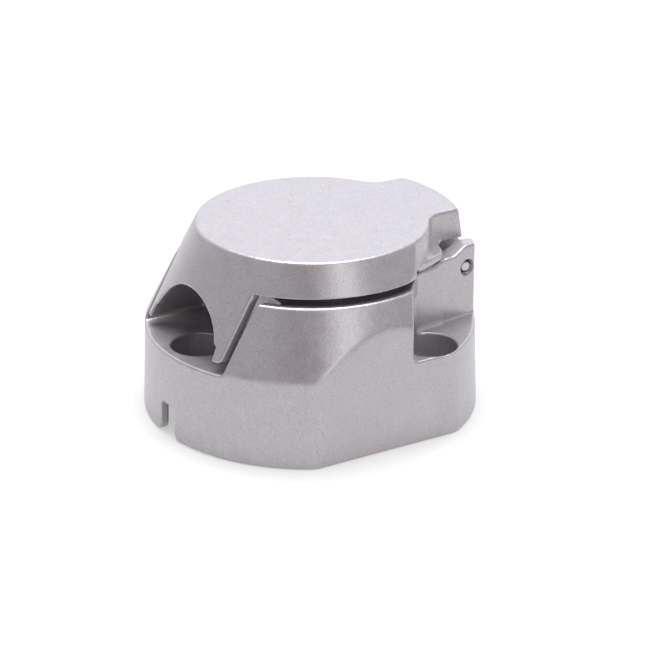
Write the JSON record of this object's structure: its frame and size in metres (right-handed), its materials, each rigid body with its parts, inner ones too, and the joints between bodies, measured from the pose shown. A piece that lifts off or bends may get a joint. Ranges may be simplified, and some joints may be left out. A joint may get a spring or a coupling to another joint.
{
  "type": "trailer light socket",
  "caption": "Round die-cast trailer light socket with a sprung hinged lid, recessed screw holes, contact insert and rear cable seal.",
  "frame": {"origin": "centre of the round base circle on the mounting plane", "axes": "+Z out of the socket's mouth, away from the mounting plane; +Y towards the hinge; +X to the right seen from the mouth with the hinge at the top"},
  "size_m": [0.0702, 0.0801, 0.0463],
  "materials": {
    "cast_aluminium": "satin",
    "steel": "satin",
    "brass": "satin",
    "black_plastic": "matte",
    "rubber": "matte"
  },
  "bodies": {
    "housing": {"housing": "cast_aluminium", "contact_insert": "black_plastic", "contact_sleeve_1": "brass", "contact_sleeve_2": "brass", "contact_sleeve_3": "brass", "contact_sleeve_4": "brass", "contact_sleeve_5": "brass", "contact_sleeve_6": "brass", "contact_pin_7": "brass", "terminal_screw_1": "brass", "terminal_screw_2": "brass", "terminal_screw_3": "brass", "terminal_screw_4": "brass", "terminal_screw_5": "brass", "terminal_screw_6": "brass", "terminal_screw_7": "brass", "insert_screw_1": "steel", "insert_screw_2": "steel", "insert_screw_3": "steel", "hinge_pin": "steel", "lid_spring": "steel", "rear_seal": "rubber"},
    "lid": {"lid": "cast_aluminium", "lid_seal": "rubber"}
  },
  "joints": [
    {"name": "lid_hinge", "type": "hinge", "parent": "housing", "child": "lid", "pos_m": [0, 0.03305, 0.0331], "axis": [-1, 0, 0], "range_deg": [0, 110], "stiffness_Nm_per_rad": 0.03, "springref_deg": -68.75, "deforming": ["lid_spring"]}
  ]
}
